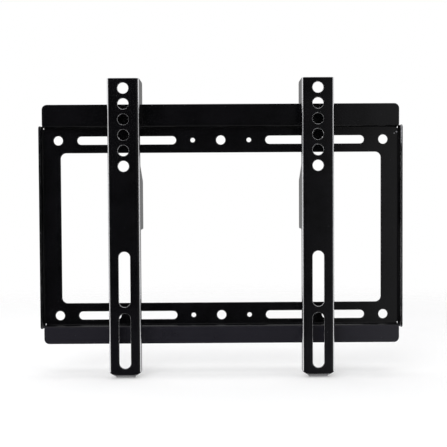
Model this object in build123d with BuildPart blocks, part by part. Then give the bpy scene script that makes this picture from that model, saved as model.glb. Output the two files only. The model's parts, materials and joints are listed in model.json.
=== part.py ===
"""Fixed wall bracket for a flat screen: a folded wall plate and two arms that hook over its top rail.

The plate lies flat on the wall, and its top edge steps forward into a rail. Each arm is a folded
channel that screws to the back of the screen and hangs on that rail by hooks cut in its side walls.
All lengths are in millimetres. The origin is on the wall face, at the centre of the wall holes.
X runs to the right along the wall, Y points into the wall and Z is up.
"""

import os

from build123d import *

# Sheet steel, the same gauge in all three pieces
sheet = 1.5
bend_inside = 1.0

# Wall plate: outline, window and stepped rails
plate_width = 289.0
stile_band = 16.25
window_height = 120.5
window_corner = 4.5
top_band = 20.0
bottom_band = 17.25
rail_step = 9.5
top_rail_rise = 17.75
bottom_rail_drop = 14.25
rail_corner = 4.0
wing_depth = 8.0
wing_corner = 2.5
wing_relief = 0.75
wing_past_top_shelf = 1.25
wing_past_bottom_shelf = 2.75

# Wall plate: screw holes, in one row on each of the two bands
hole_row_to_window = 10.0
corner_hole_inset = 14.5
corner_hole_diameter = 7.4
centre_hole_diameter = 7.4
pilot_hole_spacing = 45.0
pilot_hole_diameter = 3.7
wall_slot_width = 6.6
slot_to_corner_hole = 15.2
slot_to_pilot_hole = 13.2
wall_slot_web = 11.1

# Hanging arms: place, channel section and ends
arm_spacing = 150.0
arm_width = 25.0
screen_standoff = 26.0
rib_depth = 6.0
arm_above_rail = 18.2
arm_below_plate = 24.2
tab_depth = 11.0
tab_bend_inside = 3.3
tab_width = 14.5
tab_corner = 2.5

# Hanging arms: hook and wall stop
wall_clearance = 1.0
hook_front_clearance = 0.5
hook_back_clearance = 1.0
hook_floor_clearance = 3.25
hook_tip_corner = 2.0
ear_corner = 2.5
rib_blend = 2.5
stop_below_window_edge = 10.8
stop_ramp = 11.8
stop_length = 38.5

# Hanging arms: screw holes for the screen
screen_hole_count = 6
screen_hole_pitch = 12.0
screen_hole_diameter = 8.4
first_hole_inset = 7.7
screen_slot_width = 8.8
screen_slot_length = 43.0
screen_slot_web = 4.9
last_slot_inset = 7.6

# Worked out from the values above
bend_outside = bend_inside + sheet
tab_bend_outside = tab_bend_inside + sheet
window_width = plate_width - 2 * stile_band
rail_end = plate_width / 2 - bend_outside - wing_relief
top_shelf = window_height / 2 + top_band
bottom_shelf = -(window_height / 2 + bottom_band)
shelf_back = top_shelf + sheet
rail_back = rail_step - sheet
rail_top = top_shelf + top_rail_rise
plate_bottom = bottom_shelf - bottom_rail_drop
wing_top = top_shelf + wing_past_top_shelf
wing_bottom = bottom_shelf - wing_past_bottom_shelf
hole_row = window_height / 2 + hole_row_to_window
corner_hole_x = plate_width / 2 - corner_hole_inset
wall_slot_outer = corner_hole_x - slot_to_corner_hole
wall_slot_inner = pilot_hole_spacing / 2 + slot_to_pilot_hole
wall_slot_length = (wall_slot_outer - wall_slot_inner - wall_slot_web) / 2
arm_top = rail_top + arm_above_rail
arm_bottom = plate_bottom - arm_below_plate


def folded_section(plane, points, radii, side):
    """Draw the cut section of a folded sheet, from the line along one of its two surfaces."""
    with BuildSketch(plane) as section:
        with BuildLine():
            FilletPolyline(*points, radius=radii)
            offset(amount=sheet, side=side)
        make_face()
    return section.sketch


# Wall plate: one sheet, stepped forward along its top and bottom and turned forward at its sides
with BuildPart() as wall_plate:
    rail_line = [
        (-rail_back, rail_top),
        (-rail_back, shelf_back),
        (0, shelf_back),
        (0, bottom_shelf - sheet),
        (-rail_back, bottom_shelf - sheet),
        (-rail_back, plate_bottom),
    ]
    rail_bends = [bend_inside, bend_outside, bend_outside, bend_inside]
    rail = folded_section(Plane.YZ, rail_line, rail_bends, Side.RIGHT)
    extrude(rail, amount=rail_end, both=True)
    rail_ends = wall_plate.edges().filter_by(Axis.Y).group_by(Axis.Z)
    fillet(rail_ends[0] + rail_ends[-1], radius=rail_corner)

    # Side wings, a little longer than the space between the shelves
    wing_line = [(rail_end, 0), (plate_width / 2, 0), (plate_width / 2, -wing_depth)]
    wing = folded_section(Plane.XY.offset(wing_bottom), wing_line, [bend_outside], Side.RIGHT)
    extrude(wing, amount=wing_top - wing_bottom)
    wing_ends = wall_plate.edges().filter_by(Axis.X).group_by(Axis.X)[-1].group_by(Axis.Y)[0]
    fillet(wing_ends, radius=wing_corner)
    split(bisect_by=Plane.YZ, keep=Keep.TOP)
    mirror(about=Plane.YZ)

    # Window, screw holes and level slots, two slots end to end behind each arm
    with BuildSketch(Plane.XZ):
        RectangleRounded(window_width, window_height, window_corner)
        with GridLocations(2 * corner_hole_x, 2 * hole_row, 2, 2):
            Circle(corner_hole_diameter / 2)
        with GridLocations(0, 2 * hole_row, 1, 2):
            Circle(centre_hole_diameter / 2)
        with GridLocations(pilot_hole_spacing, 2 * hole_row, 2, 2):
            Circle(pilot_hole_diameter / 2)
        for slot_middle in (wall_slot_outer - wall_slot_length / 2, wall_slot_inner + wall_slot_length / 2):
            with GridLocations(2 * slot_middle, 2 * hole_row, 2, 2):
                SlotOverall(wall_slot_length, wall_slot_width)
    extrude(amount=sheet, both=True, mode=Mode.SUBTRACT)

wall_plate.part.label = "wall_plate"

# Hanging arms: one sheet each, folded to a channel, with hooks and wall stops left deep on its sides
face = -screen_standoff
rib_edge = face + rib_depth
ear_edge = -wall_clearance
hook_gap_front = -rail_step - hook_front_clearance
hook_gap_back = -rail_back + hook_back_clearance
hook_tip = shelf_back + hook_floor_clearance
stop_start = window_height / 2 - stop_below_window_edge
stop_full = stop_start - stop_ramp
stop_end = stop_full - stop_length
wall_end = arm_bottom + tab_bend_outside
tab_start = face + tab_bend_outside
slot_step = screen_slot_length + screen_slot_web
last_slot = arm_bottom + last_slot_inset + screen_slot_length / 2
first_hole = arm_top - first_hole_inset

# Side view of the deep and shallow stretches, as corner places with their radii
side_view = [
    ((face - sheet, arm_top), 0),
    ((ear_edge, arm_top), ear_corner),
    ((ear_edge, hook_tip), hook_tip_corner),
    ((hook_gap_back, hook_tip), hook_tip_corner),
    ((hook_gap_back, rail_top), 0),
    ((hook_gap_front, rail_top), 0),
    ((hook_gap_front, hook_tip), hook_tip_corner),
    ((rib_edge, hook_tip), rib_blend),
    ((rib_edge, stop_start), rib_blend),
    ((ear_edge, stop_full), ear_corner),
    ((ear_edge, stop_end), ear_corner),
    ((rib_edge, stop_end), rib_blend),
    ((rib_edge, wall_end), 0),
    ((face - sheet, wall_end), 0),
]

arms = []
for arm_name, arm_x in (("left_arm", -arm_spacing / 2), ("right_arm", arm_spacing / 2)):
    with BuildPart() as arm:
        channel_line = [
            (-arm_width / 2, ear_edge),
            (-arm_width / 2, face),
            (arm_width / 2, face),
            (arm_width / 2, ear_edge),
        ]
        channel_plane = Plane((arm_x, 0, arm_bottom))
        channel = folded_section(channel_plane, channel_line, [bend_outside, bend_outside], Side.LEFT)
        extrude(channel, amount=arm_top - arm_bottom)

        # Cut the side walls back to the hook, the rib and the wall stop
        with BuildSketch(Plane.YZ.offset(arm_x)):
            with BuildLine():
                corners, radii = zip(*side_view)
                FilletPolyline(*corners, radius=radii, close=True)
            make_face()
        extrude(amount=arm_width, both=True, mode=Mode.INTERSECT)

        # Swing the face and its side bends back below the ends of the side walls
        swing_line = [
            (-arm_width / 2, tab_start),
            (-arm_width / 2, face),
            (arm_width / 2, face),
            (arm_width / 2, tab_start),
        ]
        swing_plane = Plane((arm_x, 0, wall_end))
        swing = folded_section(swing_plane, swing_line, [bend_outside, bend_outside], Side.LEFT)
        revolve(swing, axis=Axis((arm_x, tab_start, wall_end), (1, 0, 0)), revolution_arc=90)

        # Mitre that bend on both sides, down to the width of the end tab
        face_plane = Plane((arm_x, face, 0), x_dir=(1, 0, 0), z_dir=(0, -1, 0))
        with BuildSketch(face_plane):
            with BuildLine():
                Polyline(
                    (arm_width / 2, wall_end),
                    (tab_width / 2, arm_bottom + sheet),
                    (tab_width / 2, arm_bottom),
                    (arm_width / 2, arm_bottom),
                    close=True,
                )
            make_face()
            mirror(about=Plane.YZ)
        extrude(amount=-tab_depth, mode=Mode.SUBTRACT)

        # End tab, with its corners cut off
        with BuildSketch(Plane((arm_x, tab_start, arm_bottom))) as tab:
            Rectangle(tab_width, tab_depth - tab_bend_outside, align=(Align.CENTER, Align.MIN))
            chamfer(tab.vertices().group_by(Axis.Y)[-1], length=tab_corner)
        extrude(amount=sheet)

        # Screw holes and upright screw slots in the face
        with BuildSketch(face_plane):
            with Locations((0, first_hole - (screen_hole_count - 1) * screen_hole_pitch / 2)):
                with GridLocations(0, screen_hole_pitch, 1, screen_hole_count):
                    Circle(screen_hole_diameter / 2)
            with Locations((0, last_slot), (0, last_slot + slot_step)):
                SlotOverall(screen_slot_length, screen_slot_width, rotation=90)
        extrude(amount=-sheet, mode=Mode.SUBTRACT)

    arm.part.label = arm_name
    arms.append(arm.part)

os.makedirs("parts", exist_ok=True)
for piece in (wall_plate.part, *arms):
    export_step(piece, f"parts/{piece.label}.step")
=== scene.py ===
"""Looks of a fixed wall bracket for a flat screen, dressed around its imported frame.

The bracket is three folded steel sheets under black paint: a wall plate with a stepped rail, and two
hanging arms that hook over that rail. Each sheet is worked here as sheet metal is: punched flat, folded,
drawn out, given its gauge and eased along its cut edges. Lengths are in millimetres while a sheet is
being worked, and in metres in the paint, on the stage and once the sheet is an object of the scene.
"""

import json
import logging
import math
from collections.abc import Iterable, Mapping
from dataclasses import dataclass, field
from enum import Enum
from typing import Any

import bmesh
import bpy
from bmesh.types import BMEdge, BMFace, BMVert
from mathutils import Matrix, Vector

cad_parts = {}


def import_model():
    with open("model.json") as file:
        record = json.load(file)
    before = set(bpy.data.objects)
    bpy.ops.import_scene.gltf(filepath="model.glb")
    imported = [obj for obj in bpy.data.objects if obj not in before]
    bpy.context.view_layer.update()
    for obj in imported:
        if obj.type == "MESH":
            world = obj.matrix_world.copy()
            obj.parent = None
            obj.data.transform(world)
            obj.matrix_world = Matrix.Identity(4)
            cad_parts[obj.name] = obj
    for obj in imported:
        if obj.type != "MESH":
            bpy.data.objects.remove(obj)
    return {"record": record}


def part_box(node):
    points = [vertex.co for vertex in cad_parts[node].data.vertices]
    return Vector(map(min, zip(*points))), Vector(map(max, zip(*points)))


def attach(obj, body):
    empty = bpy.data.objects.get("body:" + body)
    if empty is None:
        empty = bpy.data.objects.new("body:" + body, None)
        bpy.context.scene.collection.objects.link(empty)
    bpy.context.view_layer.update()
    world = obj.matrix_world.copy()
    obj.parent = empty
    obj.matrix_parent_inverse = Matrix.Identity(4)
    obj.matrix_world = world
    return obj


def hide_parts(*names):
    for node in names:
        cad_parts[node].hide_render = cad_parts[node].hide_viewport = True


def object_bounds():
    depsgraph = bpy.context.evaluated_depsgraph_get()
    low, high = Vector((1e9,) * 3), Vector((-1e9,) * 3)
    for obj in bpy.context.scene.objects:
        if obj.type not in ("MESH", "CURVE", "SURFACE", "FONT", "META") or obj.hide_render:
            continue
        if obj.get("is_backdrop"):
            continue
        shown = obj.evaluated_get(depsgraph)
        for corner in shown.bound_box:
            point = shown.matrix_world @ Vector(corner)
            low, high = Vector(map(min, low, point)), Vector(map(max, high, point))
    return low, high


LOG = logging.getLogger("wall_bracket")

# Names of the body and of the marks for the paint
BODY = "root"
EDGE_LAYER = "eased_edge"
FOLD_LAYER = "fold"

# One millimetre in metres, then the reach of a match, a scored line and two merges in millimetres
MILLIMETRE = 0.001
SAME_PLACE = 0.01
SCORE_REACH = 0.05
MERGE_REACH = 0.001
SEAM_REACH = 0.025

# Angles in radians
QUARTER_TURN = math.pi / 2
FLAT_ANGLE = 0.01
HOLLOW_ANGLE = 0.05

# Stretches of a bend: the share of its angle and the mark for the paint's painted highlight, which only the
# crest gets
BEND_STRETCHES = ((0.25, 0.0), (0.5, 1.0), (0.25, 0.0))

# Weight of the larger faces in the shading along their borders
FLAT_FACE_WEIGHT = 100

Point = tuple[float, float]
Place = tuple[float, float, float]
Colour = tuple[float, float, float, float]
Box = tuple[Vector, Vector]
Plane = tuple[Vector, Vector]

WHITE: Colour = (1.0, 1.0, 1.0, 1.0)


class Side(Enum):
    """The two hands of the bracket and of each arm, as signs along X."""

    LEFT = -1
    RIGHT = 1


class End(Enum):
    """The two ends of the wall plate's height, as signs along Z."""

    BOTTOM = -1
    TOP = 1


class Axis(Enum):
    """The lines that slots run along and folds turn about."""

    LEVEL = (1.0, 0.0, 0.0)
    UPRIGHT = (0.0, 0.0, 1.0)


class Bevel(Enum):
    """What a bevel takes off, as its operator names it."""

    CORNERS = "VERTICES"
    EDGES = "EDGES"


@dataclass(frozen=True)
class Gauge:
    """Sheet thickness, bends and edge rounding that all pieces share, in millimetres and degrees."""

    sheet: float = 1.5
    bend_inside: float = 1.0
    bend_steps: int = 8
    hole_steps: int = 48
    corner_steps: int = 8
    eased_edge: float = 0.4
    eased_steps: int = 3
    eased_angle: float = 50.0

    @property
    def bend_outside(self) -> float:
        """Radius on the outer side of a plain bend."""
        return self.bend_inside + self.sheet


@dataclass(frozen=True)
class Corner:
    """One corner of a side wall's outline, seen from the side, in millimetres."""

    y: float
    z: float
    radius: float = 0.0


@dataclass(frozen=True)
class Punch:
    """A slot, or a round hole of no slot length, punched through an upright face, in millimetres."""

    x: float
    z: float
    radius: float
    slot_length: float
    run: Axis


@dataclass(frozen=True)
class PunchBook:
    """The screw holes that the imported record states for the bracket."""

    mounts: Mapping[str, Mapping[str, Any]]

    @classmethod
    def from_record(cls, record: Mapping[str, Any]) -> "PunchBook":
        """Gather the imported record's mounts by name."""
        return cls({mount["name"]: mount for mount in record["mounts"]})

    def punches(self, name: str, run: Axis) -> list[Punch]:
        """List the holes of one screw pattern.

        Args:
            name: The mount's name.
            run: The way that its slots run.

        Returns:
            One punch for each hole or slot.
        """
        mount = self.mounts[name]
        sizes = mount["dims"]
        middle = Vector(mount["pos_m"]) / MILLIMETRE
        radius = sizes["hole_r_mm"]
        slot_length = sizes.get("slot_length_mm", 0.0)
        across = self._pair(sizes.get("spacing_x_mm", 0.0))
        upright = self._pair(sizes.get("spacing_y_mm", 0.0))
        return [
            Punch(middle.x + x, middle.z + z, radius, slot_length, run) for x in across for z in upright
        ]

    @staticmethod
    def _pair(spacing: float) -> list[float]:
        """Two places a spacing apart about zero, or zero alone."""
        return [-spacing / 2, spacing / 2] if spacing else [0.0]


def once_each(items: Iterable[Any]) -> list[Any]:
    """List items in their order, each one once."""
    return list(dict.fromkeys(items))


class FoldedSheet:
    """A bmesh worked as sheet metal: punched, folded, drawn out, thickened and eased."""

    def __init__(self, gauge: Gauge) -> None:
        """Start an empty sheet.

        Args:
            gauge: Thickness and fineness of the sheet.
        """
        self.gauge = gauge
        self.mesh = bmesh.new()
        self.mesh.loops.layers.float.new(FOLD_LAYER)

    def rectangle(self, low: Point, high: Point, depth: float, radius: float = 0.0) -> list[BMEdge]:
        """Draw a rectangle in an upright plane, with rounded corners where a radius is given.

        Args:
            low: Lowest x and z.
            high: Highest x and z.
            depth: The plane's y.
            radius: Corner radius.

        Returns:
            The edges of the outline.
        """
        before = set(self.mesh.edges)
        corners = [(low[0], low[1]), (high[0], low[1]), (high[0], high[1]), (low[0], high[1])]
        verts = [self.mesh.verts.new((x, depth, z)) for x, z in corners]
        self.mesh.faces.new(verts)
        if radius:
            self.round_corners(verts, radius)
        drawn = [edge for edge in self.mesh.edges if edge not in before]
        bmesh.ops.delete(self.mesh, geom=drawn[0].link_faces[:], context="FACES_ONLY")
        return drawn

    def punch(self, hole: Punch, depth: float) -> list[BMEdge]:
        """Draw the outline of a hole or slot in an upright plane.

        Args:
            hole: Place and size of the hole.
            depth: The plane's y.

        Returns:
            The edges of the outline.
        """
        steps = self.gauge.hole_steps
        half_step = Matrix.Rotation(math.pi / steps, 4, "Z")
        upright = Matrix.Rotation(QUARTER_TURN, 4, "X")
        place = Matrix.Translation((hole.x, depth, hole.z))
        ring = bmesh.ops.create_circle(
            self.mesh, segments=steps, radius=hole.radius, matrix=place @ upright @ half_step
        )
        verts = ring["verts"]
        along = Vector(hole.run.value)
        middle = place.translation
        reach = hole.slot_length / 2 - hole.radius if hole.slot_length else 0.0
        for way in (-1, 1):
            half = [vert for vert in verts if way * (vert.co - middle).dot(along) > 0]
            bmesh.ops.translate(self.mesh, verts=half, vec=way * reach * along)
        return once_each(edge for vert in verts for edge in vert.link_edges)

    def fill(self, outlines: Iterable[BMEdge]) -> None:
        """Fill the sheet between an outer outline and the holes in it.

        Args:
            outlines: The edges of all the outlines.
        """
        filled = bmesh.ops.triangle_fill(self.mesh, use_beauty=True, edges=list(outlines))
        faces = [item for item in filled["geom"] if isinstance(item, BMFace)]
        inner = [item for item in filled["geom"] if isinstance(item, BMEdge) and len(item.link_faces) == 2]
        verts = once_each(vert for face in faces for vert in face.verts)
        bmesh.ops.dissolve_limit(self.mesh, angle_limit=FLAT_ANGLE, verts=verts, edges=inner)

    def edges_between(self, low: Vector, high: Vector) -> list[BMEdge]:
        """Pick the free edges that lie wholly in a box, by its lowest and highest corner."""
        free = [edge for edge in self.mesh.edges if edge.is_boundary]
        return [edge for edge in free if self._in_any(edge, [(low, high)])]

    def verts_at(self, *places: Vector) -> list[BMVert]:
        """Pick the vertices that stand at given places."""
        verts = self.mesh.verts
        return [vert for vert in verts if any((vert.co - place).length < SAME_PLACE for place in places)]

    def faces_past(self, before: set[BMFace], *planes: Plane) -> list[BMFace]:
        """Pick the new faces that lie past every one of some planes.

        Args:
            before: The faces that aren't new.
            planes: A point on each plane and its normal.

        Returns:
            The new faces whose middles lie past all the planes.
        """
        return [
            face
            for face in self.mesh.faces
            if face not in before
            and all((face.calc_center_median() - place).dot(normal) > 0 for place, normal in planes)
        ]

    @staticmethod
    def _inside(place: Vector, low: Vector, high: Vector) -> bool:
        """Whether a place lies in a box, its faces included."""
        return all(a - SAME_PLACE <= p <= b + SAME_PLACE for a, p, b in zip(low, place, high))

    def fold(self, edges: list[BMEdge], pivot: Vector, axis: Axis, angle: float) -> list[BMEdge]:
        """Bend the sheet onward from some free edges, and mark the crest of the bend for the paint's
        painted highlight.

        Args:
            edges: The edges where the bend starts.
            pivot: A point on the bend's centre line.
            axis: The direction of that line.
            angle: The angle of the bend, right-handed about the line.

        Returns:
            The edges where the bend ends.
        """
        for share, mark in BEND_STRETCHES:
            before = set(self.mesh.faces)
            bent = bmesh.ops.spin(
                self.mesh,
                geom=edges,
                cent=pivot,
                axis=Vector(axis.value),
                angle=share * angle,
                steps=round(share * self.gauge.bend_steps),
                use_merge=False,
                use_duplicate=False,
            )
            self._mark(FOLD_LAYER, self.faces_past(before), mark)
            edges = [item for item in bent["geom_last"] if isinstance(item, BMEdge)]
        return edges

    def _mark(self, name: str, faces: Iterable[BMFace], value: float) -> None:
        """Set a layer of the sheet to one value on some faces.

        Args:
            name: The layer's name.
            faces: The faces to mark.
            value: The mark.
        """
        layer = self.mesh.loops.layers.float[name]
        for face in faces:
            for loop in face.loops:
                loop[layer] = value

    def draw_out(self, edges: list[BMEdge], move: Vector) -> list[BMEdge]:
        """Draw the sheet straight onward from some free edges.

        Args:
            edges: The edges where the flat stretch starts.
            move: How far it runs.

        Returns:
            The edges where it ends.
        """
        drawn = bmesh.ops.extrude_edge_only(self.mesh, edges=edges)
        verts = [item for item in drawn["geom"] if isinstance(item, BMVert)]
        bmesh.ops.translate(self.mesh, verts=verts, vec=move)
        ends = [item for item in drawn["geom"] if isinstance(item, BMEdge)]
        return [edge for edge in ends if all(vert in verts for vert in edge.verts)]

    def round_corners(self, verts: list[BMVert], radius: float) -> None:
        """Round free corners of a flat stretch.

        Args:
            verts: The corners, all of the same angle.
            radius: Their radius.
        """
        first = verts[0]
        runs = [edge.other_vert(first).co - first.co for edge in first.link_edges if edge.is_boundary]
        opening = runs[0].angle(runs[1])
        self._bevel(verts, Bevel.CORNERS, radius / math.tan(opening / 2), self.gauge.corner_steps)

    def cut_corners(self, verts: list[BMVert], length: float) -> None:
        """Cut free corners of a flat stretch off straight, from a length along each edge."""
        self._bevel(verts, Bevel.CORNERS, length, 1)

    def _bevel(self, geom: list[BMVert | BMEdge], kind: Bevel, offset: float, steps: int) -> list[BMFace]:
        """Bevel corners or edges of the sheet.

        Args:
            geom: The corners or edges.
            kind: Which of the two they are.
            offset: How far from them the bevel starts.
            steps: Steps of the bevel.

        Returns:
            The faces of the bevel.
        """
        made = bmesh.ops.bevel(
            self.mesh,
            geom=geom,
            offset=offset,
            offset_type="OFFSET",
            segments=steps,
            profile=0.5,
            affect=kind.value,
            clamp_overlap=False,
            loop_slide=False,
            material=-1,
        )
        return made["faces"]

    def score(self, faces: list[BMFace], plane: Plane) -> None:
        """Divide some faces along a plane.

        Args:
            faces: The faces to divide.
            plane: A point on the plane and its normal.
        """
        edges = once_each(edge for face in faces for edge in face.edges)
        verts = once_each(vert for face in faces for vert in face.verts)
        place, normal = plane
        bmesh.ops.bisect_plane(
            self.mesh, geom=[*faces, *edges, *verts], dist=SCORE_REACH, plane_co=place, plane_no=normal
        )

    def side_wall(self, edge: BMEdge, corners: list[Corner]) -> None:
        """Close a flat upright wall between a fold's last edge and an outline.

        Args:
            edge: The upright edge where the fold ends.
            corners: The outline from the edge's top end round to its bottom end.
        """
        low, high = sorted(edge.verts, key=lambda vert: vert.co.z)
        outline = [self.mesh.verts.new((low.co.x, corner.y, corner.z)) for corner in corners]
        self.mesh.faces.new([low, high, *outline])
        for vert, corner in zip(outline, corners):
            if corner.radius:
                self.round_corners([vert], corner.radius)

    def thicken(self, outward: Vector) -> None:
        """Give the sheet its gauge on the inner side, and keep the marks of folds to the outer side.

        Args:
            outward: The way that the largest face looks.
        """
        bmesh.ops.remove_doubles(self.mesh, verts=self.mesh.verts[:], dist=MERGE_REACH)
        bmesh.ops.recalc_face_normals(self.mesh, faces=self.mesh.faces[:])
        largest = max(self.mesh.faces, key=BMFace.calc_area)
        if largest.normal.dot(outward) < 0:
            bmesh.ops.reverse_faces(self.mesh, faces=self.mesh.faces[:])
        bmesh.ops.solidify(self.mesh, geom=self.mesh.faces[:], thickness=self.gauge.sheet)
        bmesh.ops.remove_doubles(self.mesh, verts=self.mesh.verts[:], dist=SEAM_REACH)
        if self.mesh.calc_volume(signed=True) < 0:
            bmesh.ops.reverse_faces(self.mesh, faces=self.mesh.faces[:])
        self._mark(FOLD_LAYER, [face for face in self.mesh.faces if self._is_hollow(face)], 0.0)

    @staticmethod
    def _is_hollow(face: BMFace) -> bool:
        """Whether a face lies on the inner side of a fold."""
        return any(edge.calc_face_angle_signed(0.0) < -HOLLOW_ANGLE for edge in face.edges)

    def ease_edges(self, tight: list[Box]) -> None:
        """Round the sheet's outer edges a little and mark the rounded strips for the paint's thin coat and
        painted highlight.

        Args:
            tight: Boxes round the corners that are too tight to be rounded.
        """
        limit = math.radians(self.gauge.eased_angle)
        sharp = [
            edge
            for edge in self.mesh.edges
            if edge.is_convex and edge.calc_face_angle() > limit and not self._in_any(edge, tight)
        ]
        strips = self._bevel(sharp, Bevel.EDGES, self.gauge.eased_edge, self.gauge.eased_steps)
        self.mesh.loops.layers.float.new(EDGE_LAYER)
        self._mark(EDGE_LAYER, strips, 1.0)

    def _in_any(self, edge: BMEdge, boxes: list[Box]) -> bool:
        """Whether both ends of an edge lie in one of some boxes."""
        return any(all(self._inside(vert.co, *box) for vert in edge.verts) for box in boxes)

    def hand_over(self, name: str) -> bpy.types.Object:
        """Turn the worked sheet into an object of the scene, in metres.

        Args:
            name: The object's name.

        Returns:
            The object, at the origin, with its place in its mesh.
        """
        bmesh.ops.scale(self.mesh, vec=Vector((MILLIMETRE,) * 3), verts=self.mesh.verts[:])
        for face in self.mesh.faces:
            face.smooth = True
        mesh = bpy.data.meshes.new(name)
        self.mesh.to_mesh(mesh)
        self.mesh.free()
        made = bpy.data.objects.new(name, mesh)
        bpy.context.scene.collection.objects.link(made)
        normals = made.modifiers.new("flat_faces_stay_flat", "WEIGHTED_NORMAL")
        normals.mode = "FACE_AREA"
        normals.weight = FLAT_FACE_WEIGHT
        normals.keep_sharp = True
        return made


@dataclass(frozen=True)
class Socket:
    """A shader socket that takes part in Python arithmetic, each operator adding one Math node."""

    bench: "ShaderBench"
    socket: bpy.types.NodeSocket

    def _math(self, operation: str, first: "Operand", second: "Operand") -> "Socket":
        """Add a Math node and return its result."""
        return self.bench.node("ShaderNodeMath", {"operation": operation}, {0: first, 1: second})

    def __add__(self, other: "Operand") -> "Socket":
        """Sum of two values."""
        return self._math("ADD", self, other)

    def __radd__(self, other: "Operand") -> "Socket":
        """Sum of two values, the number first."""
        return self._math("ADD", other, self)

    def __sub__(self, other: "Operand") -> "Socket":
        """Difference of two values."""
        return self._math("SUBTRACT", self, other)

    def __rsub__(self, other: "Operand") -> "Socket":
        """Difference of two values, the number first."""
        return self._math("SUBTRACT", other, self)

    def __mul__(self, other: "Operand") -> "Socket":
        """Product of two values."""
        return self._math("MULTIPLY", self, other)

    def __rmul__(self, other: "Operand") -> "Socket":
        """Product of two values, the number first."""
        return self._math("MULTIPLY", other, self)

    def larger(self, other: "Operand") -> "Socket":
        """The larger of two values."""
        return self._math("MAXIMUM", self, other)

    def ease(self, low: float, high: float) -> "Socket":
        """A smooth step, 0 at and before the first limit and 1 from the second on."""
        inputs = {"Value": self, "From Min": low, "From Max": high, "To Min": 0.0, "To Max": 1.0}
        return self.bench.node("ShaderNodeMapRange", {"interpolation_type": "SMOOTHSTEP"}, inputs)


Operand = Socket | float
Tint = Socket | Colour


class ShaderBench:
    """Adds nodes to one shader tree."""

    # Sockets of a node that mixes colours, and the middle of the values of noise
    COLOUR_FACTOR = 0
    COLOUR_FIRST = 6
    COLOUR_SECOND = 7
    COLOUR_RESULT = 2
    NOISE_MEAN = 0.5

    def __init__(self, owner: bpy.types.Material | bpy.types.World) -> None:
        """Give a material or world an empty tree.

        Args:
            owner: The material or world.
        """
        owner.use_nodes = True
        self.tree = owner.node_tree
        self.tree.nodes.clear()

    def node(
        self,
        kind: str,
        settings: Mapping[str, Any] | None = None,
        inputs: Mapping[str | int, Any] | None = None,
        output: str | int = 0,
    ) -> Socket:
        """Add one node, its settings first and then its sockets.

        Args:
            kind: The node's type name.
            settings: Properties of the node.
            inputs: Values or wrapped sockets, by input name or number.
            output: The output to return.

        Returns:
            The wrapped output, or the first input of a node that has no output.
        """
        node = self.tree.nodes.new(kind)
        for name, value in (settings or {}).items():
            setattr(node, name, value)
        for name, value in (inputs or {}).items():
            if isinstance(value, Socket):
                self.tree.links.new(value.socket, node.inputs[name])
            else:
                node.inputs[name].default_value = value
        if not node.outputs:
            return Socket(self, node.inputs[0])
        return Socket(self, node.outputs[output])

    def tint(self, factor: Operand, first: Tint, second: Tint) -> Socket:
        """Mix two colours by the share of the second."""
        inputs = {self.COLOUR_FACTOR: factor, self.COLOUR_FIRST: first, self.COLOUR_SECOND: second}
        return self.node("ShaderNodeMix", {"data_type": "RGBA"}, inputs, self.COLOUR_RESULT)

    def noise(self, place: Socket, feature: float, detail: float = 2.0, roughness: float = 0.5) -> Socket:
        """Soft noise in blotches of a given size in metres, with octaves of finer noise."""
        inputs = {"Vector": place, "Scale": 1 / feature, "Detail": detail, "Roughness": roughness}
        return self.node("ShaderNodeTexNoise", None, inputs)

    def scatter(self, place: Socket, spacing: float) -> Socket:
        """Distance to the nearest of scattered points, as a share of their spacing in metres."""
        inputs = {"Vector": place, "Scale": 1 / spacing}
        return self.node("ShaderNodeTexVoronoi", None, inputs, "Distance")

    def vector(self, operation: str, first: Socket, second: Place) -> Socket:
        """Vector that an operation gives for two vectors."""
        return self.node("ShaderNodeVectorMath", {"operation": operation}, {0: first, 1: second})

    def length(self, vector: Socket) -> Socket:
        """Length of a vector."""
        return self.node("ShaderNodeVectorMath", {"operation": "LENGTH"}, {0: vector}, "Value")

    def component(self, vector: Socket, name: str) -> Socket:
        """One of a vector's components, X, Y or Z."""
        return self.node("ShaderNodeSeparateXYZ", None, {0: vector}, name)

    def layer(self, name: str) -> Socket:
        """A layer of marks on the piece's mesh."""
        return self.node("ShaderNodeAttribute", {"attribute_name": name}, output="Fac")

    def light_path(self, name: str) -> Socket:
        """Whether a ray is of one kind."""
        return self.node("ShaderNodeLightPath", output=name)


@dataclass(frozen=True)
class Scuff:
    """A small pale rub mark on the paint, in metres, with its core and grain as shares of its reach."""

    place: Place
    reach: float
    strength: float
    stretch: float = 1.0
    core: float = 0.35
    grain: float = 0.7
    ragged: float = 1.2

    def mask(self, bench: ShaderBench, place: Socket) -> Socket:
        """Share of bare grey at the mark, which is stretched upright and ragged at its border.

        Args:
            bench: The bench of the paint's tree.
            place: Coordinates on the piece.

        Returns:
            The share, between 0 and the mark's strength.
        """
        offset = bench.vector("SUBTRACT", place, self.place)
        away = bench.length(bench.vector("MULTIPLY", offset, (1.0, 1.0, 1 / self.stretch)))
        grain = bench.noise(place, self.reach * self.grain, detail=3.0) - bench.NOISE_MEAN
        spread = away * (1 / self.reach) + grain * self.ragged
        return (1.0 - spread.ease(self.core, 1.0)) * self.strength


@dataclass(frozen=True)
class PaintedUnderlight:
    """Painted reflection of the bright floor: paler paint that fades in between two heights in metres and
    is a little patchy.
    """

    none_above: float
    full_below: float
    strength: float
    least: float = 0.7
    patchy: float = 0.6

    def mask(self, bench: ShaderBench, place: Socket, clouds: Socket) -> Socket:
        """Share of painted reflection at a place, by its height and the paint's clouds."""
        low = 1.0 - bench.component(place, "Z").ease(self.full_below, self.none_above)
        return low * (self.least + self.patchy * clouds) * self.strength


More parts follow.
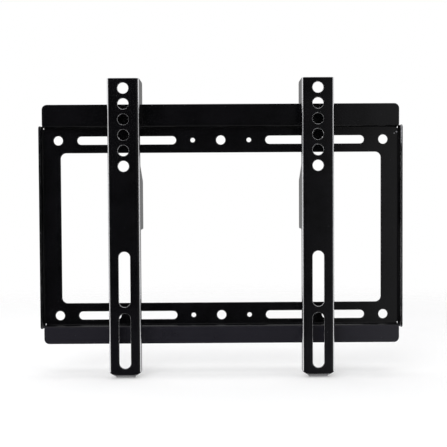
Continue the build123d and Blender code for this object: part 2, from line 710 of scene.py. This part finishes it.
@dataclass(frozen=True)
class BlackPaint:
    """Semi-gloss black paint baked on folded steel, with the faint texture that such paint has, a painted
    highlight along folds and eased edges and a painted reflection that pales it lower down.
    """

    # Colours of the coat, of its painted reflection lower down, of what shows where it is thin, dusty or
    # rubbed, and of the painted highlight
    deep: Colour = (0.0018, 0.0018, 0.0022, 1.0)
    pale: Colour = (0.0031, 0.0030, 0.0039, 1.0)
    underlit_colour: Colour = (0.0142, 0.0135, 0.0182, 1.0)
    thin_coat: Colour = (0.030, 0.030, 0.034, 1.0)
    speck: Colour = (0.07, 0.07, 0.075, 1.0)
    scuffed: Colour = (0.36, 0.36, 0.38, 1.0)
    painted_highlight: Colour = (0.80, 0.80, 0.82, 1.0)

    # Gloss
    refraction: float = 1.5
    roughness: float = 0.19
    cloud_roughness: float = 0.08
    peel_roughness: float = 0.03
    speck_roughness: float = 0.2
    scuff_roughness: float = 0.25

    # Painted highlight, pale and metal-like, on the crests of folds, and on the eased edges from a place
    # along X on
    fold_sheen: float = 1.0
    edge_dull_until: float = -1.0001
    edge_sheen_from: float = -1.0

    # Orange peel, ripple of the rolled sheet and clouds, in metres
    peel_size: float = 0.0011
    peel_height: float = 0.0000035
    ripple_size: float = 0.034
    ripple_height: float = 0.00007
    cloud_size: float = 0.018
    cloud_low: float = 0.3
    cloud_high: float = 0.7

    # Thin stretches of the eased edges
    thin_size: float = 0.009
    thin_from: float = 0.42
    thin_full: float = 0.68
    thin_strength: float = 0.8

    # Grains of dust, their size as a share of their spacing
    speck_spacing: float = 0.006
    speck_radius: float = 0.035
    speck_core: float = 0.014

    # Painted reflection of the bright floor: the paint is paler towards the bottom
    underlight: PaintedUnderlight = PaintedUnderlight(none_above=-0.020, full_below=-0.120, strength=0.25)
    scuffs: tuple[Scuff, ...] = ()

    def material(self, name: str) -> bpy.types.Material:
        """Make the paint as a material.

        Args:
            name: The material's name.

        Returns:
            The material.
        """
        made = bpy.data.materials.new(name)
        bench = ShaderBench(made)
        place = bench.node("ShaderNodeTexCoord", output="Object")
        clouds = bench.noise(place, self.cloud_size, detail=5.0, roughness=0.62)
        peel = bench.noise(place, self.peel_size, detail=1.5)
        specks = 1.0 - bench.scatter(place, self.speck_spacing).ease(self.speck_core, self.speck_radius)
        # Painted highlight: a pale metal-like share along fold crests and outlying eased edges
        highlight = self._highlight_share(bench, place)
        colour = bench.tint(clouds.ease(self.cloud_low, self.cloud_high), self.deep, self.pale)
        # Painted reflection, paler towards the bottom
        colour = bench.tint(self.underlight.mask(bench, place, clouds), colour, self.underlit_colour)
        colour = bench.tint(self._thin_edges(bench, place), colour, self.thin_coat)
        colour = bench.tint(specks, colour, self.speck)
        colour = bench.tint(highlight, colour, self.painted_highlight)
        roughness = self.roughness + (clouds - bench.NOISE_MEAN) * self.cloud_roughness
        roughness = roughness + peel * self.peel_roughness + specks * self.speck_roughness
        for scuff in self.scuffs:
            mark = scuff.mask(bench, place)
            colour = bench.tint(mark, colour, self.scuffed)
            roughness = roughness + mark * self.scuff_roughness
            highlight = highlight * (1.0 - mark)
        inputs = {
            "Base Color": colour,
            "Roughness": roughness,
            "Metallic": highlight,
            "IOR": self.refraction,
            "Normal": self._relief(bench, place, peel),
        }
        surface = bench.node("ShaderNodeBsdfPrincipled", None, inputs)
        bench.node("ShaderNodeOutputMaterial", None, {"Surface": surface})
        return made

    def _relief(self, bench: ShaderBench, place: Socket, peel: Socket) -> Socket:
        """Relief of fine orange peel over the faint ripple of rolled sheet.

        Args:
            bench: The bench of the paint's tree.
            place: Coordinates on the piece.
            peel: Noise of the orange peel.

        Returns:
            The normal.
        """
        ripple = bench.noise(place, self.ripple_size, detail=1.0)
        inputs = {"Strength": 1.0, "Distance": self.ripple_height, "Height": ripple}
        rolled = bench.node("ShaderNodeBump", None, inputs)
        inputs = {"Strength": 1.0, "Distance": self.peel_height, "Height": peel, "Normal": rolled}
        return bench.node("ShaderNodeBump", None, inputs)

    def _highlight_share(self, bench: ShaderBench, place: Socket) -> Socket:
        """Share of painted highlight, pale and metal-like, along the crests of folds and the outlying eased
        edges.
        """
        outlying = bench.component(place, "X").ease(self.edge_dull_until, self.edge_sheen_from)
        return (bench.layer(FOLD_LAYER) * self.fold_sheen).larger(bench.layer(EDGE_LAYER) * outlying)

    def _thin_edges(self, bench: ShaderBench, place: Socket) -> Socket:
        """Share of thin coat along the eased edges, broken up into stretches."""
        stretches = bench.noise(place, self.thin_size, detail=3.0).ease(self.thin_from, self.thin_full)
        return bench.layer(EDGE_LAYER) * stretches * self.thin_strength


@dataclass(frozen=True)
class PaleFloor:
    """Seamless pale floor that stays white to the eye and keeps the shadow, in metres."""

    height: float
    reach: float = 2.4
    steps: int = 96
    colour: Colour = (0.86, 0.86, 0.865, 1.0)
    lift: float = 0.16
    fade_from: float = 0.25
    fade_to: float = 0.70

    def build(self) -> None:
        """Make the floor as a disc that the paint doesn't mirror, and mark it as stage."""
        disc = bmesh.new()
        place = Matrix.Translation((0.0, 0.0, self.height))
        bmesh.ops.create_circle(disc, cap_ends=True, segments=self.steps, radius=self.reach, matrix=place)
        mesh = bpy.data.meshes.new("floor")
        disc.to_mesh(mesh)
        disc.free()
        floor = bpy.data.objects.new("floor", mesh)
        bpy.context.scene.collection.objects.link(floor)
        mesh.materials.append(self._material())
        floor.visible_glossy = False
        floor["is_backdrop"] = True

    def _material(self) -> bpy.types.Material:
        """Make a matt pale surface that fades into the white room far out.

        Returns:
            The material.
        """
        made = bpy.data.materials.new("pale_floor")
        bench = ShaderBench(made)
        out = bench.length(bench.node("ShaderNodeTexCoord", output="Object"))
        lift = bench.light_path("Is Camera Ray") * self.lift
        matt = bench.node("ShaderNodeBsdfDiffuse", None, {"Color": self.colour})
        glow = bench.node("ShaderNodeEmission", None, {"Color": WHITE, "Strength": lift})
        lifted = bench.node("ShaderNodeAddShader", None, {0: matt, 1: glow})
        clear = bench.node("ShaderNodeBsdfTransparent")
        fade = out.ease(self.fade_from, self.fade_to)
        faded = bench.node("ShaderNodeMixShader", None, {0: fade, 1: lifted, 2: clear})
        bench.node("ShaderNodeOutputMaterial", None, {"Surface": faded})
        return made


@dataclass(frozen=True)
class WhiteRoom:
    """White studio round the bracket, which the paint mirrors with a dark screen across its front.

    Each limit is a component of the direction looked in: X to the right, Y to the back and Z up.
    """

    ambient: float = 0.28

    # White walls, a little dimmer on the right
    left_white: float = 1.00
    right_white: float = 0.90
    walls_blend: float = 0.3

    # Shade towards the floor and behind the bracket
    floor_shade: float = 0.75
    shaded_below: float = -0.80
    clear_above: float = -0.35
    back_shade: float = 0.6
    back_from: float = 0.70
    back_to: float = 0.97

    # Dark screen in front, and the dim card at its right
    dark_screen: float = 0.012
    dark_until: float = -0.45
    white_from: float = 0.0
    card: float = 0.50
    card_from: float = 0.12
    card_full: float = 0.28
    card_until: float = 0.30
    card_to: float = 0.42

    def build(self) -> None:
        """Set the scene's world: white to the eye, mirrored as the studio, and an even fill elsewhere."""
        world = bpy.data.worlds.new("white_room")
        bpy.context.scene.world = world
        bench = ShaderBench(world)
        seen = bench.light_path("Is Camera Ray")
        sharp = bench.light_path("Is Glossy Ray").larger(bench.light_path("Is Transmission Ray"))
        unseen = sharp * self._mirrored_room(bench) + (1.0 - sharp) * self.ambient
        strength = seen + (1.0 - seen) * unseen
        light = bench.node("ShaderNodeBackground", None, {"Color": WHITE, "Strength": strength})
        bench.node("ShaderNodeOutputWorld", None, {"Surface": light})

    def _mirrored_room(self, bench: ShaderBench) -> Socket:
        """Brightness of the room in a reflection.

        Args:
            bench: The bench of the world's tree.

        Returns:
            The brightness by direction.
        """
        way = bench.node("ShaderNodeTexCoord", output="Generated")
        right, back, up = (bench.component(way, name) for name in "XYZ")
        to_right = right.ease(-self.walls_blend, self.walls_blend)
        walls = self.left_white + to_right * (self.right_white - self.left_white)
        level = (1.0 - self.floor_shade) + up.ease(self.shaded_below, self.clear_above) * self.floor_shade
        behind = 1.0 - back.ease(self.back_from, self.back_to) * self.back_shade
        white = back.ease(self.dark_until, self.white_from) * level * walls * behind
        past_card = right.ease(self.card_until, self.card_to)
        card = right.ease(self.card_from, self.card_full) * (1.0 - past_card) * self.card
        return self.dark_screen + white.larger(card)


@dataclass(frozen=True)
class Softbox:
    """A soft studio lamp, by place, aim and size in metres and by the brightness of its face."""

    name: str
    place: Place
    aim: Place
    width: float
    height: float
    glow: float

    def build(self) -> None:
        """Hang the lamp, which lights surfaces and doesn't show in their gloss."""
        lamp = bpy.data.lights.new(self.name, "AREA")
        lamp.shape = "RECTANGLE"
        lamp.size = self.width
        lamp.size_y = self.height
        lamp.energy = self.glow * math.pi * self.width * self.height
        made = bpy.data.objects.new(self.name, lamp)
        turn = (Vector(self.aim) - Vector(self.place)).to_track_quat("-Z", "Y")
        made.matrix_world = Matrix.Translation(self.place) @ turn.to_matrix().to_4x4()
        made.visible_camera = False
        made.visible_glossy = False
        bpy.context.scene.collection.objects.link(made)


@dataclass(frozen=True)
class FrontCamera:
    """The near-frontal camera, a little above the bracket's middle: metres, lens millimetres, degrees."""

    place: Place = (-0.000309, -0.622966, 0.021120)
    lens: float = 62.354
    sensor: float = 36.0
    heading: float = -0.2004
    downward: float = 1.6417
    roll: float = -0.3281

    def build(self) -> None:
        """Set up the camera and make it the scene's own."""
        optics = bpy.data.cameras.new("front_camera")
        optics.lens = self.lens
        optics.sensor_width = self.sensor
        made = bpy.data.objects.new("front_camera", optics)
        heading = Matrix.Rotation(math.radians(self.heading), 4, "Z")
        level = Matrix.Rotation(QUARTER_TURN - math.radians(self.downward), 4, "X")
        roll = Matrix.Rotation(math.radians(self.roll), 4, "Z")
        made.matrix_world = Matrix.Translation(self.place) @ heading @ level @ roll
        bpy.context.scene.collection.objects.link(made)
        bpy.context.scene.camera = made


@dataclass(kw_only=True)
class FoldedPiece:
    """A painted piece of one folded sheet, which stands for a solid of the frame, in millimetres."""

    gauge: Gauge
    book: PunchBook
    node: str
    paint: BlackPaint = BlackPaint()
    low: Vector = field(init=False)
    high: Vector = field(init=False)

    def __post_init__(self) -> None:
        """Read the lowest and highest corner of the solid."""
        self.low, self.high = (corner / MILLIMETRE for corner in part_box(self.node))

    def dress(self, sheet: FoldedSheet) -> bpy.types.Object:
        """Paint a finished sheet and let it stand for its solid.

        Args:
            sheet: The finished sheet.

        Returns:
            The finished piece.
        """
        piece = sheet.hand_over(f"{self.node}_sheet")
        piece.data.materials.append(self.paint.material(f"{self.node}_paint"))
        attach(piece, BODY)
        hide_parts(self.node)
        return piece


@dataclass(kw_only=True)
class WallPlate(FoldedPiece):
    """The frame that is screwed to the wall, folded from one sheet, in millimetres."""

    node: str = "wall_plate"
    window: Point = (256.5, 120.5)
    window_corner: float = 4.5
    top_band: float = 20.0
    bottom_band: float = 17.25
    rail_corner: float = 4.0
    wing_depth: float = 8.0
    wing_corner: float = 2.5
    wing_relief: float = 0.75
    wing_past_top_shelf: float = 1.25
    wing_past_bottom_shelf: float = 2.75
    hole_patterns: tuple[str, ...] = (
        "wall_screws",
        "wall_centre_screws",
        "wall_pilot_screws",
        "wall_slots_outer",
        "wall_slots_inner",
    )

    # Painted reflection along the bottom lip and painted highlight on the right wing's eased edges;
    # rubbed beside the top right hole, with a pale mark stretched along the right wing's edge at its top
    paint: BlackPaint = BlackPaint(
        # Painted highlight only on the right wing's eased edges, and none along the folds
        fold_sheen=0.0,
        edge_dull_until=0.1423,
        edge_sheen_from=0.1424,
        # Painted reflection along the bottom lip
        underlight=PaintedUnderlight(none_above=-0.0772, full_below=-0.0792, strength=1.0),
        scuffs=(
            Scuff(place=(0.14085, -0.0015, 0.07598), reach=0.0009, strength=0.6),
            Scuff(place=(0.13901, -0.0015, 0.07487), reach=0.0008, strength=0.35),
            # A pale grey mark stretched upright along the right wing's front edge at its top
            Scuff(place=(0.1429, -0.0078, 0.0770), reach=0.0010, strength=1.0, stretch=14.0),
        ),
    )

    @property
    def rail_end(self) -> float:
        """Half of the rails' length, just short of the wings."""
        return self.high.x - self.gauge.bend_outside - self.wing_relief

    def shelf(self, end: End) -> float:
        """Distance of a shelf's inner side from the middle, up or down."""
        return self.window[1] / 2 + (self.top_band if end is End.TOP else self.bottom_band)

    def flat_end(self, end: End) -> float:
        """Distance from the middle to where the flat frame turns into the bend of a shelf, up or down."""
        return self.shelf(end) + self.gauge.sheet - self.gauge.bend_outside

    def wing_end(self, end: End) -> float:
        """Distance of an end of the wings from the middle, up or down."""
        past_shelf = self.wing_past_top_shelf if end is End.TOP else self.wing_past_bottom_shelf
        return self.shelf(end) + past_shelf

    def build(self) -> bpy.types.Object:
        """Work the plate's sheet, from its back face.

        Returns:
            The finished piece.
        """
        sheet = FoldedSheet(self.gauge)
        low, high = (-self.rail_end, -self.flat_end(End.BOTTOM)), (self.rail_end, self.flat_end(End.TOP))
        outlines = sheet.rectangle(low, high, 0.0)
        width, height = self.window
        low, high = (-width / 2, -height / 2), (width / 2, height / 2)
        outlines += sheet.rectangle(low, high, 0.0, self.window_corner)
        for pattern in self.hole_patterns:
            for hole in self.book.punches(pattern, Axis.LEVEL):
                outlines += sheet.punch(hole, 0.0)
        sheet.fill(outlines)
        self._rail(sheet, End.TOP, self.high.z)
        self._rail(sheet, End.BOTTOM, -self.low.z)
        for side in Side:
            self._wing(sheet, side)
        sheet.thicken(Vector((0, 1, 0)))
        sheet.ease_edges([self._relief_corner(side, end) for side in Side for end in End])
        return self.dress(sheet)

    def _relief_corner(self, side: Side, end: End) -> Box:
        """Box round the narrow gap between a rail and an end of a wing, with the bend beside it.

        Args:
            side: The side of the plate.
            end: The top or the bottom.

        Returns:
            The lowest and highest corner of the box.
        """
        across = sorted((side.value * self.rail_end, side.value * self.high.x))
        upright = sorted((end.value * self.flat_end(end), end.value * self.wing_end(end)))
        low = Vector((across[0], -self.gauge.bend_outside, upright[0]))
        return low, Vector((across[1], 0, upright[1]))

    def _rail(self, sheet: FoldedSheet, end: End, reach: float) -> None:
        """Step the sheet forward along its top or bottom and turn it upright again.

        Args:
            sheet: The sheet being worked.
            end: The top or the bottom.
            reach: Height of the rail's free edge above or below the middle.
        """
        way = end.value
        outside, inside = self.gauge.bend_outside, self.gauge.bend_inside
        rail_back = self.low.y + self.gauge.sheet
        shelf_back = self.shelf(end) + self.gauge.sheet
        line = way * self.flat_end(end)
        edges = sheet.edges_between(Vector((-self.rail_end, 0, line)), Vector((self.rail_end, 0, line)))
        edges = sheet.fold(edges, Vector((0, -outside, line)), Axis.LEVEL, way * QUARTER_TURN)
        edges = sheet.draw_out(edges, Vector((0, rail_back + inside + outside, 0)))
        pivot = Vector((0, rail_back + inside, way * (shelf_back + inside)))
        edges = sheet.fold(edges, pivot, Axis.LEVEL, -way * QUARTER_TURN)
        sheet.draw_out(edges, Vector((0, 0, way * (reach - shelf_back - inside))))
        tips = [Vector((side.value * self.rail_end, rail_back, way * reach)) for side in Side]
        sheet.round_corners(sheet.verts_at(*tips), self.rail_corner)

    def _wing(self, sheet: FoldedSheet, side: Side) -> None:
        """Turn one side of the sheet forward into a narrow wing.

        Args:
            sheet: The sheet being worked.
            side: The side of the plate.
        """
        way = side.value
        outside = self.gauge.bend_outside
        start = way * self.rail_end
        line = start + way * self.wing_relief
        edge = way * self.high.x
        low = Vector((start, 0, -self.flat_end(End.BOTTOM)))
        high = Vector((start, 0, self.flat_end(End.TOP)))
        edges = sheet.draw_out(sheet.edges_between(low, high), Vector((way * self.wing_relief, 0, 0)))
        edges = sheet.fold(edges, Vector((line, -outside, 0)), Axis.UPRIGHT, -way * QUARTER_TURN)
        sheet.draw_out(edges, Vector((0, outside - self.wing_depth, 0)))
        inner, outer = sorted((line, edge))
        tips = []
        for end in End:
            flat = end.value * self.flat_end(end)
            tip = end.value * self.wing_end(end)
            ends = sheet.edges_between(Vector((inner, -self.wing_depth, flat)), Vector((outer, 0, flat)))
            sheet.draw_out(ends, Vector((0, 0, tip - flat)))
            bmesh.ops.dissolve_edges(sheet.mesh, edges=ends, use_verts=True)
            tips.append(Vector((edge, -self.wing_depth, tip)))
        sheet.round_corners(sheet.verts_at(*tips), self.wing_corner)


@dataclass(kw_only=True)
class HangingArm(FoldedPiece):
    """A channel that is screwed to the screen and hooks over the wall plate's rail, in millimetres."""

    plate: WallPlate
    rib_depth: float = 6.0
    hook_front_clearance: float = 0.5
    hook_back_clearance: float = 1.0
    hook_floor_clearance: float = 3.25
    hook_tip_corner: float = 2.0
    ear_corner: float = 2.5
    rib_blend: float = 2.5
    stop_below_window_edge: float = 10.8
    stop_ramp: float = 11.8
    stop_length: float = 38.5
    tab_depth: float = 11.0
    tab_bend_inside: float = 3.3
    tab_width: float = 14.5
    tab_corner: float = 2.5
    hole_patterns: tuple[str, ...] = ("screen_screws_outer", "screen_screws_middle", "screen_screws_inner")

    @property
    def middle(self) -> float:
        """The arm's middle line along X."""
        return (self.low.x + self.high.x) / 2

    @property
    def half_flat(self) -> float:
        """Half the width of the flat face between its two bends."""
        return (self.high.x - self.low.x) / 2 - self.gauge.bend_outside

    @property
    def tab_bend(self) -> float:
        """Outer radius of the bend of the end tab."""
        return self.tab_bend_inside + self.gauge.sheet

    @property
    def wall_end(self) -> float:
        """Height where the side walls end, above the end tab."""
        return self.low.z + self.tab_bend

    def outline(self) -> list[Corner]:
        """Side view of hook, rib and wall stop.

        Returns:
            The corners from the top of the fold round to its bottom.
        """
        rail_top = self.plate.high.z
        rail_front = self.plate.low.y
        rail_back = rail_front + self.gauge.sheet
        ear = self.high.y
        rib = self.low.y + self.rib_depth
        gap_front = rail_front - self.hook_front_clearance
        gap_back = rail_back + self.hook_back_clearance
        tip = self.plate.shelf(End.TOP) + self.gauge.sheet + self.hook_floor_clearance
        stop_start = self.plate.window[1] / 2 - self.stop_below_window_edge
        stop_full = stop_start - self.stop_ramp
        stop_end = stop_full - self.stop_length
        return [
            Corner(ear, self.high.z, self.ear_corner),
            Corner(ear, tip, self.hook_tip_corner),
            Corner(gap_back, tip, self.hook_tip_corner),
            Corner(gap_back, rail_top),
            Corner(gap_front, rail_top),
            Corner(gap_front, tip, self.hook_tip_corner),
            Corner(rib, tip, self.rib_blend),
            Corner(rib, stop_start, self.rib_blend),
            Corner(ear, stop_full, self.ear_corner),
            Corner(ear, stop_end, self.ear_corner),
            Corner(rib, stop_end, self.rib_blend),
            Corner(rib, self.wall_end),
        ]

    def build(self) -> bpy.types.Object:
        """Work the arm's sheet, from its front face.

        Returns:
            The finished piece.
        """
        sheet = FoldedSheet(self.gauge)
        face = self.low.y
        left, right = self.middle - self.half_flat, self.middle + self.half_flat
        outlines = sheet.rectangle((left, self.wall_end), (right, self.high.z), face)
        for pattern in (f"{self.node}_slots", *self.hole_patterns):
            for hole in self.book.punches(pattern, Axis.UPRIGHT):
                if left < hole.x < right:
                    outlines += sheet.punch(hole, face)
        sheet.fill(outlines)
        for side in Side:
            self._wall(sheet, side)
        self._tab(sheet)
        sheet.thicken(Vector((0, -1, 0)))
        foot_end = Vector((self.high.x, face + self.tab_bend, self.wall_end))
        sheet.ease_edges([(self.low, foot_end)])
        return self.dress(sheet)

    def _wall(self, sheet: FoldedSheet, side: Side) -> None:
        """Fold one side of the face back into a wall with its hook, rib and stop.

        Args:
            sheet: The sheet being worked.
            side: The side of the arm.
        """
        face = self.low.y
        line = self.middle + side.value * self.half_flat
        edges = sheet.edges_between(Vector((line, face, self.wall_end)), Vector((line, face, self.high.z)))
        pivot = Vector((line, face + self.gauge.bend_outside, 0))
        (end,) = sheet.fold(edges, pivot, Axis.UPRIGHT, side.value * QUARTER_TURN)
        sheet.side_wall(end, self.outline())

    def _tab(self, sheet: FoldedSheet) -> None:
        """Swing the bottom of the face and of its side bends back, and mitre them down to the end tab.

        Args:
            sheet: The sheet being worked.
        """
        face, bottom, end = self.low.y, self.low.z, self.wall_end
        before = set(sheet.mesh.faces)
        high = Vector((self.high.x, face + self.gauge.bend_outside, end))
        edges = sheet.edges_between(Vector((self.low.x, face, end)), high)
        sheet.fold(edges, Vector((0, face + self.tab_bend, end)), Axis.LEVEL, QUARTER_TURN)
        low = Vector((self.middle - self.half_flat, face, bottom))
        high = Vector((self.middle + self.half_flat, face + self.tab_bend, bottom))
        sheet.draw_out(sheet.edges_between(low, high), Vector((0, self.tab_depth - self.tab_bend, 0)))
        mitre_run = (self.high.x - self.low.x - self.tab_width) / 2
        mitre_rise = self.tab_bend - self.gauge.sheet
        tips = []
        for side in Side:
            across = self.middle + side.value * self.tab_width / 2
            corner = Vector((across, 0, bottom + self.gauge.sheet))
            tab_side = (corner, Vector((side.value, 0, 0)))
            mitre = (corner, Vector((side.value * mitre_rise, 0, -mitre_run)))
            sheet.score(sheet.faces_past(before), tab_side)
            sheet.score(sheet.faces_past(before, tab_side), mitre)
            bmesh.ops.delete(sheet.mesh, geom=sheet.faces_past(before, tab_side, mitre), context="FACES")
            tips.append(Vector((across, face + self.tab_depth, bottom)))
        sheet.cut_corners(sheet.verts_at(*tips), self.tab_corner)


def set_up_stage(floor_height: float) -> None:
    """Set up floor, room, lamps and camera.

    Args:
        floor_height: Height of the floor in metres.
    """
    bpy.context.scene.view_settings.view_transform = "Standard"
    PaleFloor(floor_height).build()
    WhiteRoom().build()
    Softbox("top_softbox", (0.0, 0.10, 1.10), (0.0, 0.10, 0.0), width=1.60, height=1.20, glow=2.1).build()
    Softbox("key_softbox", (-0.40, -1.15, 0.35), (0.0, 0.0, 0.0), width=0.90, height=0.90, glow=4.4).build()
    FrontCamera().build()


def main() -> None:
    """Build the bracket's pieces and its stage, with the floor at the lowest point of the solids."""
    logging.basicConfig(level=logging.INFO, format="%(name)s: %(message)s")
    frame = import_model()
    solid_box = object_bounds()
    book = PunchBook.from_record(frame["record"])
    gauge = Gauge()
    plate = WallPlate(gauge=gauge, book=book)
    arm_nodes = [f"{side.name.lower()}_arm" for side in Side]
    arms = [HangingArm(gauge=gauge, book=book, node=node, plate=plate) for node in arm_nodes]
    for part in (plate, *arms):
        piece = part.build()
        LOG.info("%s: %d faces", piece.name, len(piece.data.polygons))
    set_up_stage(solid_box[0].z)


if __name__ == "__main__":
    main()
